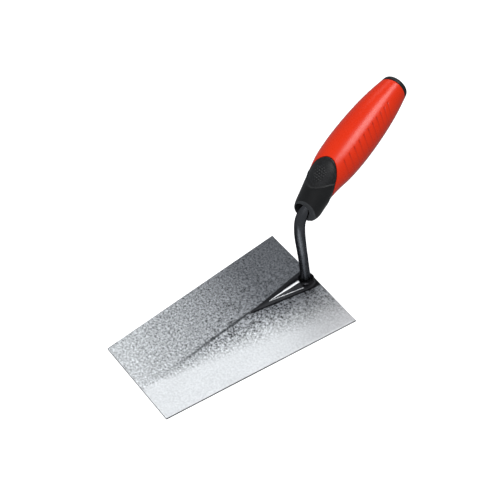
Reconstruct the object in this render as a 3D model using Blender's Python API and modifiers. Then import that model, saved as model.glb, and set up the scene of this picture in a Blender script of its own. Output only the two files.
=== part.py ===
"""Square-ended brick trowel with a two-tone moulded handle, free-standing on its flat blade.

+Y runs from the blade's toe to the butt of the handle, +X is the tool's right and +Z is up. Below,
every place is given from the middle of the heel edge on the blade's flat underside. The empty that
carries all the parts then moves the whole tool, so that its origin is the bottom centre of its box.
"""

import math

import bmesh
import bpy
from mathutils import Matrix, Vector

MM = 0.001
GAP = 0.3 * MM                      # clear space between two touching parts
CUT_SIZE = 80.0 * MM                # a cutting box that is larger than the handle is thick

# Blade: a plate that is widest at its heel, with a low ridge along its middle
BLADE_LENGTH = 180.0 * MM
HEEL_WIDTH = 120.0 * MM
TOE_WIDTH = 90.0 * MM
EDGE_THICKNESS = 1.6 * MM
RIDGE_RISE = 1.2 * MM
RIDGE_FULL_TO = 68.0 * MM           # the ridge keeps its height this far from the heel
RIDGE_FADES_AT = 150.0 * MM
BLADE_STATIONS = 18

# Foot: a spear-shaped forging on the ridge, with a raised tongue in front of the shank
SHANK_SET_IN = 7.6 * MM             # shank axis in front of the heel edge
SPEAR_HALF_WIDTH = 10.2 * MM
SPEAR_TIP = 65.0 * MM
SPEAR_HEIGHT = 1.0 * MM
TONGUE_START = 15.2 * MM
TONGUE_TIP = 45.0 * MM
TONGUE_HALF_WIDTH = 3.3 * MM
TONGUE_HEIGHT = 2.2 * MM
TIP_HALF_WIDTH = 0.5 * MM
TONGUE_STATIONS = 6
TONGUE_FALL = 0.8                   # the tongue's height falls as this power of the way to its tip
SHOULDER = 0.94                     # the spear's side leans in to this share of its half width
SHOULDER_HEIGHT = 0.6               # at this share of its height
TONGUE_TAPER = 0.72                 # width of the tongue's crest as a share of its foot
CREST = 0.15 * MM                   # height of the crest that runs on from the tongue to the tip
HEEL_STATIONS = ((1.2, 0.5), (3.0, 0.8), (7.6, 1.0))  # distance in front of the heel, width share

# Weld: a ring of filler round the shank's lower end
WELD_RADIUS = 7.2 * MM
WELD_HEIGHT = 2.6 * MM
WELD_HOLLOW = 0.85                  # how far its side curves in, as a share of its height
WELD_POINTS = 6
WELD_SIDES = 28

# Shank: a forged round rod; each point is y, z, radius, from the foot to the tip of its spike
SHANK_PATH = (
    (-7.6, 3.9, 4.7),
    (-7.8, 9.0, 4.4),
    (-8.1, 18.0, 4.2),
    (-8.7, 32.0, 4.2),
    (-9.5, 46.0, 4.4),
    (-10.1, 58.0, 4.6),
    (-10.2, 68.0, 4.7),
    (-9.4, 77.0, 4.7),
    (-6.6, 84.6, 4.7),
    (-2.0, 90.8, 4.6),
    (4.6, 97.6, 4.5),
    (13.5, 106.6, 4.2),
    (24.5, 117.0, 3.8),
    (37.0, 127.6, 3.2),
    (49.0, 137.0, 2.2),
)
SHANK_STEPS = 3                     # straight pieces between two of those points
SHANK_SIDES = 16

# Handle: a barrel on a spine that is straight from the butt and bends down at the nose
BUTT_Y = 93.7 * MM
BUTT_Z = 172.5 * MM
HANDLE_TILT = math.radians(37.9)
STRAIGHT_LENGTH = 82.0 * MM
NOSE_BEND_RADIUS = 142.0 * MM
HANDLE_STEP = 3.6 * MM
HANDLE_SIDES = 32
HANDLE_TURN = math.radians(18.0)    # the thumb pad's middle sits this far round to the right
# Outer radius against the distance from the butt, both in millimetres
BARREL = (
    (-8.0, 8.0),
    (0.0, 10.1),
    (8.0, 11.9),
    (18.0, 14.0),
    (30.0, 15.8),
    (44.0, 17.1),
    (60.0, 17.8),
    (74.0, 17.6),
    (86.0, 16.6),
    (97.0, 14.5),
    (107.0, 12.9),
    (117.0, 11.7),
    (125.0, 11.1),
    (130.0, 9.8),
    (133.5, 7.6),
    (135.5, 5.0),
)
SKIN = 3.0 * MM                     # wall of the red grip and of the black sleeve

# Core: the hard inner moulding, between these distances from the butt
CORE_START = 7.5 * MM
CORE_END = 113.0 * MM

# End cap: a leaning slice with a flat end and a round rim; a spigot holds it in the grip
CAP_END = 2.4 * MM                  # where its end and its joint cross the spine
CAP_JOINT = 7.6 * MM
END_LEAN = math.radians(32.0)
JOINT_LEAN = math.radians(36.0)
CAP_TURN = math.radians(33.0)
CAP_ROUNDING = 2.6 * MM
CAP_RADIUS = 11.6 * MM              # half width of its end, and its size on the slope over that
CAP_STRETCH = 1.2
CAP_DROP = 2.0 * MM                 # the end's middle below the spine, along the slope
CAP_SPREAD = 4.0 * MM               # the end's rim widens this much over one cutting box
SPIGOT_RADIUS = 6.4 * MM
SPIGOT_TIP_RADIUS = 6.0 * MM
SPIGOT_LENGTH = 9.0 * MM

# Sleeve: its rear edge in side view, as height above the spine and distance from the butt (mm);
# this makes a round thumb pad on top, and a ring that stays near the nose underneath
SLEEVE_EDGE = (
    (-20.0, 119.0),
    (-12.0, 114.0),
    (-4.4, 108.8),
    (3.0, 100.2),
    (8.5, 92.8),
    (10.9, 88.8),
    (13.7, 84.6),
    (16.1, 80.6),
    (17.4, 78.2),
    (24.0, 68.0),
)
SLEEVE_EDGE_STEPS = 26
# Mouth: a plane cut that faces forward, and the flared hole that the shank leaves through
MOUTH_Y = -5.6 * MM                 # where the cut crosses the shank's axis
MOUTH_Z = 88.0 * MM
MOUTH_PITCH = math.radians(0.0)     # how far the cut faces below the horizontal
MOUTH_TURN = math.radians(26.0)     # how far it faces towards the right
MOUTH_DISTANCE = 118.0 * MM         # its place along the spine
MOUTH_RADIUS = 7.0 * MM
MOUTH_LIFT = 2.6 * MM               # the hole's middle above the shank's axis
MOUTH_ROWS = (7, 12)                # the hole runs between these rows of the shank's path
MOUTH_FLARE_ROW = 10.5              # and has narrowed to the shank's size here

PARTS = "square_brick_trowel"
CUTTERS = "cutters"


def clear_scene():
    for item in list(bpy.data.objects):
        bpy.data.objects.remove(item, do_unlink=True)


def new_collection(name):
    made = bpy.data.collections.new(name)
    bpy.context.scene.collection.children.link(made)
    return made


def new_material(name, color, roughness, metallic):
    made = bpy.data.materials.new(name)
    made.use_nodes = True
    shader = made.node_tree.nodes["Principled BSDF"]
    shader.inputs["Base Color"].default_value = (*color, 1.0)
    shader.inputs["Roughness"].default_value = roughness
    shader.inputs["Metallic"].default_value = metallic
    return made


def add_object(name, data, collection):
    made = bpy.data.objects.new(name, data)
    collection.objects.link(made)
    return made


def mesh_from(bm, name):
    bmesh.ops.recalc_face_normals(bm, faces=bm.faces)
    mesh = bpy.data.meshes.new(name)
    bm.to_mesh(mesh)
    bm.free()
    return mesh


def shade(mesh):
    mesh.shade_smooth()
    mesh.set_sharp_from_angle(angle=math.radians(40.0))


def interpolate(table, at):
    """The value of a table of (place, value) rows at a place, on a smooth Catmull-Rom curve."""
    last = len(table) - 2
    row = next((n for n in range(last) if at <= table[n + 1][0]), last)
    x0, x1 = table[row][0], table[row + 1][0]
    y0, y1 = table[row][1], table[row + 1][1]
    before = table[max(row - 1, 0)]
    after = table[min(row + 2, len(table) - 1)]
    slope0 = (y1 - before[1]) / (x1 - before[0])
    slope1 = (after[1] - y0) / (after[0] - x0)
    t = (at - x0) / (x1 - x0)
    run = x1 - x0
    return (
        (2 * t**3 - 3 * t**2 + 1) * y0
        + (t**3 - 2 * t**2 + t) * run * slope0
        + (3 * t**2 - 2 * t**3) * y1
        + (t**3 - t**2) * run * slope1
    )


def barrel_radius(distance):
    return interpolate(BARREL, distance / MM) * MM


def upward(along):
    """The direction square to the spine, in the plane of symmetry, on the thumb's side."""
    return Vector((0.0, along.z, -along.y))


def spine(distance):
    """A point of the handle's spine and its direction towards the nose."""
    butt = Vector((0.0, BUTT_Y, BUTT_Z))
    along = Vector((0.0, -math.cos(HANDLE_TILT), -math.sin(HANDLE_TILT)))
    if distance <= STRAIGHT_LENGTH:
        return butt + along * distance, along
    turn = (distance - STRAIGHT_LENGTH) / NOSE_BEND_RADIUS
    under = -upward(along)
    start = butt + along * STRAIGHT_LENGTH
    run = NOSE_BEND_RADIUS * math.sin(turn)
    drop = NOSE_BEND_RADIUS * (1.0 - math.cos(turn))
    return start + along * run + under * drop, along * math.cos(turn) + under * math.sin(turn)


def spine_frame(distance, pitch=0.0):
    """A matrix at the spine: local Z towards the nose, local X the tool's right, turned by pitch."""
    point, along = spine(distance)
    right = Vector((1.0, 0.0, 0.0))
    rows = Matrix((right, along.cross(right), along)).transposed().to_4x4()
    return Matrix.Translation(point) @ rows @ Matrix.Rotation(pitch, 4, "X")


def turned(matrix, distance, angle):
    """A matrix carried round the spine at a distance, from the thumb's side towards the right."""
    frame = spine_frame(distance)
    return frame @ Matrix.Rotation(-angle, 4, "Z") @ frame.inverted() @ matrix


def tube_mesh(name, points, sides):
    """A tube with filled ends through points of (place, radius), as one closed mesh."""
    curve = bpy.data.curves.new(name, "CURVE")
    curve.dimensions = "3D"
    curve.bevel_depth = 1.0
    curve.bevel_resolution = (sides - 4) // 2
    curve.use_fill_caps = True
    path = curve.splines.new("POLY")
    path.points.add(len(points) - 1)
    for spot, (place, radius) in zip(path.points, points):
        spot.co = (*place, 1.0)
        spot.radius = radius
    guide = add_object(name + "_guide", curve, bpy.context.scene.collection)
    bpy.context.view_layer.update()
    view = bpy.context.evaluated_depsgraph_get()
    mesh = bpy.data.meshes.new_from_object(guide.evaluated_get(view))
    bm = bmesh.new()
    bm.from_mesh(mesh)
    bmesh.ops.remove_doubles(bm, verts=bm.verts, dist=0.01 * MM)
    bmesh.ops.recalc_face_normals(bm, faces=bm.faces)
    bm.to_mesh(mesh)
    bm.free()
    bpy.data.objects.remove(guide, do_unlink=True)
    mesh.name = name
    return mesh


def handle_tube(name, start, end, inset):
    """The barrel between two distances from the butt, with its surface moved in by inset."""
    count = max(2, round((end - start) / HANDLE_STEP))
    distances = [start + (end - start) * n / count for n in range(count + 1)]
    if end == BARREL[-1][0] * MM:
        distances.insert(-1, end - HANDLE_STEP * 0.4)
    points = [(spine(d)[0], barrel_radius(d) - inset) for d in distances]
    return tube_mesh(name, points, HANDLE_SIDES)


def barrel_mesh(name):
    """The whole barrel, from past its butt to the tip of its nose."""
    return handle_tube(name, BARREL[0][0] * MM, BARREL[-1][0] * MM, 0.0)


def shank_points(grow):
    """Smooth (place, radius) points along the shank, with its radius grown by a clearance."""
    ys = [(n, row[0]) for n, row in enumerate(SHANK_PATH)]
    zs = [(n, row[1]) for n, row in enumerate(SHANK_PATH)]
    radii = [(n, row[2]) for n, row in enumerate(SHANK_PATH)]
    points = []
    for step in range((len(SHANK_PATH) - 1) * SHANK_STEPS + 1):
        at = step / SHANK_STEPS
        place = Vector((0.0, interpolate(ys, at) * MM, interpolate(zs, at) * MM))
        points.append((place, interpolate(radii, at) * MM + grow))
    return points


def cutter(name, mesh, cutters):
    made = add_object(name, mesh, cutters)
    made.hide_render = True
    made.display_type = "WIRE"
    return made


def cut(target, tool, operation="DIFFERENCE"):
    step = target.modifiers.new(tool.name, "BOOLEAN")
    step.operation = operation
    step.object = tool
    step.solver = "EXACT"


def box_mesh(name, size, matrix):
    """A cube of the given size whose lower Z face is centred on the matrix's origin."""
    bm = bmesh.new()
    place = matrix @ Matrix.Translation((0.0, 0.0, size / 2))
    bmesh.ops.create_cube(bm, size=size, matrix=place)
    return mesh_from(bm, name)


def cylinder_mesh(name, radius_a, radius_b, depth, matrix):
    """A cylinder or cone along the matrix's Z, centred on its origin."""
    bm = bmesh.new()
    bmesh.ops.create_cone(
        bm,
        cap_ends=True,
        segments=HANDLE_SIDES,
        radius1=radius_a,
        radius2=radius_b,
        depth=depth,
        matrix=matrix,
    )
    return mesh_from(bm, name)


def sleeve_region(name, forward):
    """The space in front of the sleeve's rear edge, which is moved towards the nose by forward."""
    lowest, highest = SLEEVE_EDGE[0][0], SLEEVE_EDGE[-1][0]
    edge = []
    for n in range(SLEEVE_EDGE_STEPS + 1):
        height = highest + (lowest - highest) * n / SLEEVE_EDGE_STEPS
        point, along = spine(interpolate(SLEEVE_EDGE, height) * MM)
        edge.append(point + along * forward + upward(along) * (height * MM))
    low_rear = edge[-1] - Vector((0.0, 0.0, CUT_SIZE))
    low_front = low_rear - Vector((0.0, CUT_SIZE, 0.0))
    high_front = Vector((0.0, low_front.y, edge[0].z))
    outline = edge + [low_rear, low_front, high_front]
    half_width = CUT_SIZE / 2
    bm = bmesh.new()
    face = bm.faces.new([bm.verts.new(p - Vector((half_width, 0.0, 0.0))) for p in outline])
    grown = bmesh.ops.extrude_face_region(bm, geom=[face])["geom"]
    moved = [item for item in grown if isinstance(item, bmesh.types.BMVert)]
    bmesh.ops.translate(bm, verts=moved, vec=(2 * half_width, 0.0, 0.0))
    bmesh.ops.transform(bm, matrix=turned(Matrix(), STRAIGHT_LENGTH, HANDLE_TURN), verts=bm.verts)
    return mesh_from(bm, name)


def blade_half_width(y):
    return (HEEL_WIDTH + (TOE_WIDTH - HEEL_WIDTH) * (-y / BLADE_LENGTH)) / 2


def ridge_rise(y):
    """Height of the ridge over the blade's edges at a place along the blade."""
    fade = (-y - RIDGE_FULL_TO) / (RIDGE_FADES_AT - RIDGE_FULL_TO)
    fade = min(max(fade, 0.0), 1.0)
    return RIDGE_RISE * (1.0 - fade * fade * (3.0 - 2.0 * fade))


def blade_top(x, y):
    return EDGE_THICKNESS + ridge_rise(y) * (1.0 - abs(x) / blade_half_width(y))


def loft(name, sections):
    """A closed solid through sections, each a ring with the same number of points."""
    bm = bmesh.new()
    rings = [[bm.verts.new(point) for point in section] for section in sections]
    size = len(rings[0])
    for near, far in zip(rings, rings[1:]):
        for n in range(size):
            m = (n + 1) % size
            bm.faces.new((near[n], near[m], far[m], far[n]))
    bm.faces.new(rings[0])
    bm.faces.new(rings[-1])
    return mesh_from(bm, name)


def make_blade(parts):
    """The plate: its flat underside rests on the ground and its top rises to the ridge."""
    sections = []
    for n in range(BLADE_STATIONS + 1):
        y = -BLADE_LENGTH * n / BLADE_STATIONS
        half = blade_half_width(y)
        tops = [Vector((x, y, blade_top(x, y))) for x in (half, 0.0, -half)]
        sections.append([Vector((-half, y, 0.0)), Vector((half, y, 0.0))] + tops)
    blade = add_object("blade", loft("blade", sections), parts)
    blade.data.materials.append(new_material("ground_steel", (0.62, 0.64, 0.66), 0.38, 1.0))
    return blade


def foot_section(y, half_width, tongue_half, tongue_height):
    """A ring of the foot: base on the ridge, low spear shoulders, and the tongue on top."""
    inner = max(tongue_half * TONGUE_TAPER, TIP_HALF_WIDTH * TONGUE_TAPER)
    outer = max(tongue_half, TIP_HALF_WIDTH)
    shoulder = half_width * SHOULDER
    rows = (
        (-half_width, GAP),
        (0.0, GAP),
        (half_width, GAP),
        (shoulder, GAP + SPEAR_HEIGHT * SHOULDER_HEIGHT),
        (outer, GAP + SPEAR_HEIGHT),
        (inner, GAP + SPEAR_HEIGHT + tongue_height),
        (-inner, GAP + SPEAR_HEIGHT + tongue_height),
        (-outer, GAP + SPEAR_HEIGHT),
        (-shoulder, GAP + SPEAR_HEIGHT * SHOULDER_HEIGHT),
    )
    return [Vector((x, y, blade_top(x, y) + height)) for x, height in rows]


def spear_half(y):
    """Half width of the spear, which narrows evenly from the shank to its tip."""
    share = (-y - SHANK_SET_IN) / (SPEAR_TIP - SHANK_SET_IN)
    return SPEAR_HALF_WIDTH + (TIP_HALF_WIDTH - SPEAR_HALF_WIDTH) * share


def make_foot(parts):
    """The spear-shaped forging, as a loft from the heel to its tip."""
    sections = []
    for place, share in HEEL_STATIONS:
        half = SPEAR_HALF_WIDTH * share
        sections.append(foot_section(-place * MM, half, TONGUE_HALF_WIDTH, CREST))
    front_of_step = -TONGUE_START + 0.5 * MM
    sections.append(foot_section(front_of_step, spear_half(front_of_step), TONGUE_HALF_WIDTH, CREST))
    for n in range(TONGUE_STATIONS + 1):
        share = n / TONGUE_STATIONS
        y = -TONGUE_START - (TONGUE_TIP - TONGUE_START) * share
        half = TONGUE_HALF_WIDTH + (TIP_HALF_WIDTH - TONGUE_HALF_WIDTH) * share
        height = TONGUE_HEIGHT * (1.0 - share) ** TONGUE_FALL + CREST
        sections.append(foot_section(y, spear_half(y), half, height))
    for y in (-TONGUE_TIP - 8.0 * MM, -SPEAR_TIP + 5.0 * MM, -SPEAR_TIP):
        sections.append(foot_section(y, spear_half(y), TIP_HALF_WIDTH, CREST))
    foot = add_object("foot", loft("foot", sections), parts)
    foot.data.materials.append(new_material("forged_black", (0.035, 0.036, 0.04), 0.45, 0.6))
    return foot


def foot_top():
    """Height of the flat pad that the shank and the weld stand on."""
    return blade_top(0.0, -SHANK_SET_IN) + GAP + SPEAR_HEIGHT + CREST


def make_weld(parts):
    """A turned fillet round the shank: wide at the foot and narrow where it meets the rod."""
    inner = SHANK_PATH[0][2] * MM + GAP
    reach = WELD_RADIUS - inner
    profile = [Vector((inner, 0.0, WELD_HEIGHT))]
    for n in range(1, WELD_POINTS + 1):
        turn = math.radians(90.0) * n / WELD_POINTS
        x = inner + reach * (1.0 - WELD_HOLLOW * math.cos(turn))
        profile.append(Vector((x, 0.0, WELD_HEIGHT * (1.0 - WELD_HOLLOW * math.sin(turn)))))
    profile.append(Vector((WELD_RADIUS, 0.0, 0.0)))
    profile.append(Vector((inner, 0.0, 0.0)))
    mesh = bpy.data.meshes.new("weld_bead")
    edges = [(n, (n + 1) % len(profile)) for n in range(len(profile))]
    mesh.from_pydata(profile, edges, [])
    weld = add_object("weld_bead", mesh, parts)
    turn_it = weld.modifiers.new("turn", "SCREW")
    turn_it.steps = WELD_SIDES
    turn_it.render_steps = WELD_SIDES
    turn_it.merge_threshold = 0.1 * MM
    turn_it.use_merge_vertices = True
    turn_it.use_smooth_shade = True
    weld.location = (0.0, -SHANK_SET_IN, foot_top() + GAP)
    mesh.materials.append(new_material("weld_black", (0.02, 0.02, 0.022), 0.55, 0.3))
    return weld


def make_shank(parts):
    """The rod with its gooseneck and the spike that the handle is driven on."""
    points = shank_points(0.0)
    points[0] = (Vector((0.0, points[0][0].y, foot_top() + GAP)), points[0][1])
    shank = add_object("shank", tube_mesh("shank", points, SHANK_SIDES), parts)
    shade(shank.data)
    shank.data.materials.append(new_material("lacquered_black", (0.03, 0.031, 0.035), 0.35, 0.4))
    return shank


def make_core(parts, spike_bore, spigot_bore, grip_rear):
    """The hard inner moulding, bored for the shank's spike and the cap's spigot."""
    mesh = handle_tube("handle_core", CORE_START, CORE_END, SKIN + GAP)
    core = add_object("handle_core", mesh, parts)
    cut(core, grip_rear)
    cut(core, spike_bore)
    cut(core, spigot_bore)
    mesh.materials.append(new_material("core_grey", (0.12, 0.12, 0.13), 0.6, 0.0))
    return core


def make_grip(parts, cutters, core_bore, spigot_bore, grip_rear):
    """The red shell between the end cap and the front sleeve."""
    mesh = barrel_mesh("grip_shell")
    grip = add_object("grip_shell", mesh, parts)
    front = sleeve_region("grip_front", 0.0)
    cut(grip, cutter("grip_front", front, cutters))
    cut(grip, grip_rear)
    cut(grip, core_bore)
    cut(grip, spigot_bore)
    shade(mesh)
    mesh.materials.append(new_material("grip_red", (0.78, 0.05, 0.025), 0.3, 0.0))
    return grip


def mouth_frame():
    """A matrix on the mouth's cut, with local Z facing out of it."""
    point = Vector((0.0, MOUTH_Y, MOUTH_Z))
    cut_plane = Matrix.Translation(point) @ Matrix.Rotation(math.pi / 2 + MOUTH_PITCH, 4, "X")
    return turned(cut_plane, MOUTH_DISTANCE, MOUTH_TURN)


def make_sleeve(parts, cutters, core_bore):
    """The black nose with its thumb pad and the mouth that the shank leaves through."""
    mesh = barrel_mesh("front_sleeve")
    sleeve = add_object("front_sleeve", mesh, parts)
    region = sleeve_region("sleeve_region", GAP)
    cut(sleeve, cutter("sleeve_region", region, cutters), "INTERSECT")
    trim = box_mesh("mouth_trim", CUT_SIZE, mouth_frame())
    cut(sleeve, cutter("mouth_trim", trim, cutters))
    cut(sleeve, core_bore)
    hole = tube_mesh("mouth_hole", mouth_points(), SHANK_SIDES)
    cut(sleeve, cutter("mouth_hole", hole, cutters))
    shade(mesh)
    mesh.materials.append(new_material("sleeve_black", (0.03, 0.031, 0.032), 0.5, 0.0))
    return sleeve


def mouth_points():
    """The flared hole round the shank, from just outside the mouth into the core's bore."""
    points = shank_points(2 * GAP)
    first, last = (row * SHANK_STEPS for row in MOUTH_ROWS)
    flare_end = MOUTH_FLARE_ROW * SHANK_STEPS
    wide = MOUTH_RADIUS - points[first][1]
    flare = []
    for n in range(first, last + 1):
        share = min(max(0.0, (flare_end - n) / (1.5 * SHANK_STEPS)), 1.0)
        place, radius = points[n]
        flare.append((place + Vector((0.0, 0.0, MOUTH_LIFT * share)), radius + wide * share))
    return flare


def leaning_frame(distance, lean):
    """A matrix on a plane across the butt that leans back at the thumb's side, facing out of it."""
    return turned(spine_frame(distance, math.pi - lean), distance, CAP_TURN)


def button_mesh(name, matrix):
    """The space inside the cap's rounded rim: a wide cone, from its end at local Z zero inwards."""
    bm = bmesh.new()
    bmesh.ops.create_cone(
        bm,
        cap_ends=True,
        segments=HANDLE_SIDES,
        radius1=CAP_RADIUS + CAP_SPREAD,
        radius2=CAP_RADIUS,
        depth=CUT_SIZE,
    )
    rim = [edge for edge in bm.edges if all(corner.co.z > 0.0 for corner in edge.verts)]
    bmesh.ops.bevel(bm, geom=rim, offset=CAP_ROUNDING, segments=4, profile=0.5, affect="EDGES")
    inwards = Matrix.Translation((0.0, CAP_DROP, -CUT_SIZE / 2))
    stretch = Matrix.Diagonal((1.0, CAP_STRETCH, 1.0, 1.0))
    bmesh.ops.transform(bm, matrix=matrix @ inwards @ stretch, verts=bm.verts)
    return mesh_from(bm, name)


def make_cap(parts, cutters):
    """The black end cap, a slice off the barrel with a rounded rim, and its spigot."""
    mesh = barrel_mesh("end_cap")
    cap = add_object("end_cap", mesh, parts)
    end = button_mesh("cap_end", leaning_frame(CAP_END, END_LEAN))
    cut(cap, cutter("cap_end", end, cutters), "INTERSECT")
    keep = box_mesh("cap_region", CUT_SIZE, leaning_frame(CAP_JOINT - GAP, JOINT_LEAN))
    cut(cap, cutter("cap_region", keep, cutters), "INTERSECT")
    root = (CAP_END + CAP_JOINT) / 2
    tip = CAP_JOINT + SPIGOT_LENGTH
    middle = spine_frame((root + tip) / 2)
    spigot = cylinder_mesh("spigot", SPIGOT_RADIUS, SPIGOT_TIP_RADIUS, tip - root, middle)
    cut(cap, cutter("spigot", spigot, cutters), "UNION")
    shade(mesh)
    mesh.materials.append(new_material("cap_black", (0.035, 0.036, 0.038), 0.4, 0.0))
    return cap


def make_bores(cutters):
    """The shared cutters: the bores for spike, core and spigot, and the space behind the grip."""
    spike = tube_mesh("spike_bore", shank_points(GAP), SHANK_SIDES)
    core = handle_tube("core_bore", CORE_START - GAP, CORE_END + GAP, SKIN)
    radius = SPIGOT_RADIUS + GAP
    depth = 2 * (CAP_JOINT + SPIGOT_LENGTH + GAP)
    spigot = cylinder_mesh("spigot_bore", radius, radius, depth, spine_frame(0.0))
    rear = box_mesh("grip_rear", CUT_SIZE, leaning_frame(CAP_JOINT, JOINT_LEAN))
    return [
        cutter("spike_bore", spike, cutters),
        cutter("core_bore", core, cutters),
        cutter("spigot_bore", spigot, cutters),
        cutter("grip_rear", rear, cutters),
    ]


def stand_on_origin(objects):
    """Parent the parts to an empty that puts the bottom centre of their box at the origin."""
    bpy.context.view_layer.update()
    view = bpy.context.evaluated_depsgraph_get()
    corners = []
    for item in objects:
        seen = item.evaluated_get(view)
        corners += [item.matrix_world @ Vector(corner) for corner in seen.bound_box]
    low = [min(corner[axis] for corner in corners) for axis in range(3)]
    high = [max(corner[axis] for corner in corners) for axis in range(3)]
    stand = bpy.data.objects.new("trowel", None)
    bpy.context.scene.collection.objects.link(stand)
    stand.location = (-(low[0] + high[0]) / 2, -(low[1] + high[1]) / 2, -low[2])
    for item in objects:
        item.parent = stand
    return stand


def main():
    clear_scene()
    parts = new_collection(PARTS)
    cutters = new_collection(CUTTERS)
    spike_bore, core_bore, spigot_bore, grip_rear = make_bores(cutters)
    made = [
        make_blade(parts),
        make_foot(parts),
        make_weld(parts),
        make_shank(parts),
        make_core(parts, spike_bore, spigot_bore, grip_rear),
        make_grip(parts, cutters, core_bore, spigot_bore, grip_rear),
        make_sleeve(parts, cutters, core_bore),
        make_cap(parts, cutters),
    ]
    stand = stand_on_origin(made)
    for item in cutters.objects:
        item.parent = stand


main()
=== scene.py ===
"""Looks of the square-ended brick trowel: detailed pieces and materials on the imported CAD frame.

Every shape is placed from the CAD blade's heel edge. +Y runs from the toe to the butt of the handle,
+X is the tool's right and +Z is up. Lengths are in metres, and those in tables are in millimetres.
Colours are linear red, green and blue.
"""

import math

import bmesh
import bpy
import numpy as np
from mathutils import Matrix, Vector, noise


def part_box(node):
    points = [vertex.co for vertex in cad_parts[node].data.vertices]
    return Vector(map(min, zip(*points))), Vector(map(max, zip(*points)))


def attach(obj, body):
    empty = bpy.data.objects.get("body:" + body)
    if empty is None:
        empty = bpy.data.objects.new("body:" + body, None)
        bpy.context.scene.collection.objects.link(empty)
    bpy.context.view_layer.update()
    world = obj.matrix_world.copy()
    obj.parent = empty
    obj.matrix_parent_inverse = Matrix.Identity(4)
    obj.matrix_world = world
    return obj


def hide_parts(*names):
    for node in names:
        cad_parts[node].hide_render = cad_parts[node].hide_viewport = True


MM = 0.001
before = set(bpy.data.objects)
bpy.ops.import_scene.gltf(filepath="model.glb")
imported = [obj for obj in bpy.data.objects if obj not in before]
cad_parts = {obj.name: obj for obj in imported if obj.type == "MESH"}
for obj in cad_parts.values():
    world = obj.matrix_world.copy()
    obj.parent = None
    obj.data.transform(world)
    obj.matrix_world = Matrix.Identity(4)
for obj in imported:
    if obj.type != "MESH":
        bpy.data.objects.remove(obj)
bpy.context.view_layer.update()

HEEL_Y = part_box("blade")[1].y       # where the heel edge lies on the frame's Y axis

# The blade and the forging on it
BLADE_LENGTH = 180.0 * MM
HEEL_WIDTH = 120.0 * MM
TOE_WIDTH = 90.0 * MM
EDGE_THICKNESS = 1.6 * MM
RIDGE_RISE = 1.2 * MM
RIDGE_FULL_TO = 68.0 * MM
RIDGE_FADES_AT = 150.0 * MM
CHAMFER = 0.22 * MM                 # on the plate's edges
PLATE_COLUMNS = 60
PLATE_STATIONS = 110
SHANK_SET_IN = 7.6 * MM             # the shank's axis in front of the heel edge
SPEAR_HALF_WIDTH = 10.2 * MM
SPEAR_TIP = 65.0 * MM
SPEAR_LIFT = 0.3 * MM
SPEAR_HEIGHT = 1.0 * MM
FORGING_FROM = 1.2 * MM             # the forging's ends, in front of the heel edge
FORGING_TO = 64.8 * MM
FORGING_STATIONS = 150
TONGUE_START = 14.0 * MM
TONGUE_TIP = 45.0 * MM
TONGUE_HALF_WIDTH = 6.7 * MM
TONGUE_HEIGHT = 2.2 * MM
TONGUE_FALL = 0.8                   # the tongue's height falls as this power of the way to its tip
BED = 0.12 * MM                     # height that is left where there is no tongue
TIP_HALF_WIDTH = 0.45 * MM
BORDER_WIDTH = 0.36 * MM            # the ground border along the tongue's foot
BORDER_RISE = 0.28 * MM
CREST_HALF_WIDTH = 1.60 * MM        # the tongue's rounded crest
HIGHLIGHT_COLUMNS = ([6, 7], [11, 12], [12, 13], [13, 14])  # its faces that get bright steel: a painted highlight on the crest and on the right foot's ground border
WELD_RADIUS = 7.2 * MM
WELD_HEIGHT = 2.9 * MM
WELD_SIDES = 96
WELD_ROWS = 14

# Shank: distance behind the heel edge, height and radius, from the foot to the tip of the spike
SHANK_PATH = (
    (-7.6, 4.6, 4.7),
    (-7.8, 9.0, 4.4),
    (-8.1, 18.0, 4.2),
    (-8.7, 32.0, 4.2),
    (-9.5, 46.0, 4.4),
    (-10.1, 58.0, 4.6),
    (-10.2, 68.0, 4.7),
    (-9.4, 77.0, 4.7),
    (-6.6, 84.6, 4.7),
    (-2.0, 90.8, 4.6),
    (4.6, 97.6, 4.5),
    (13.5, 106.6, 4.2),
    (24.5, 117.0, 3.8),
    (37.0, 127.6, 3.2),
    (49.0, 137.0, 2.2),
)
SHANK_STEPS = 210
SHANK_SIDES = 72
MOUTH_ROWS = (6.0, 11.0)            # the rows of that path that are near the mouth

# Handle: a barrel on a spine, straight from the butt and bent down at the nose
BUTT_Y = 93.7 * MM
BUTT_Z = 172.5 * MM
HANDLE_TILT = math.radians(37.9)
STRAIGHT_LENGTH = 82.0 * MM
NOSE_BEND_RADIUS = 142.0 * MM
BARREL = (                          # distance from the butt, and radius
    (-8.0, 8.0),
    (0.0, 10.1),
    (8.0, 11.9),
    (18.0, 14.0),
    (30.0, 15.8),
    (44.0, 17.1),
    (60.0, 17.8),
    (74.0, 17.6),
    (86.0, 16.6),
    (97.0, 14.5),
    (107.0, 12.9),
    (117.0, 11.7),
    (125.0, 11.1),
    (130.0, 10.1),
    (134.0, 8.2),
    (136.5, 5.4),
)
NOSE_DOME = 0.9                     # the dome that closes the barrel, in millimetres
SKIN = 3.0 * MM                     # wall of the mouldings
GAP = 0.3 * MM                      # clear space between two touching parts
HANDLE_TURN = math.radians(18.0)    # the thumb pad, the cap and the mouth are turned to the right
CAP_TURN = math.radians(33.0)
CAP_END = 2.4 * MM
CAP_JOINT = 7.6 * MM
END_LEAN = math.radians(32.0)
JOINT_LEAN = math.radians(36.0)
CAP_ROUNDING = 2.3 * MM
CAP_DOME = 0.4 * MM
SEAM = ((0.0, 0.62), (0.05, 0.34), (0.16, 0.16), (0.34, 0.05), (0.62, 0.0))  # rounding: along, in
SPIGOT_RADIUS = 6.4 * MM
SPIGOT_LENGTH = 9.0 * MM
SPIGOT_TIP = ((5.2, 0.0), (6.0, 0.4), (6.4, 3.0))  # radius, and distance back from the tip
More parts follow.
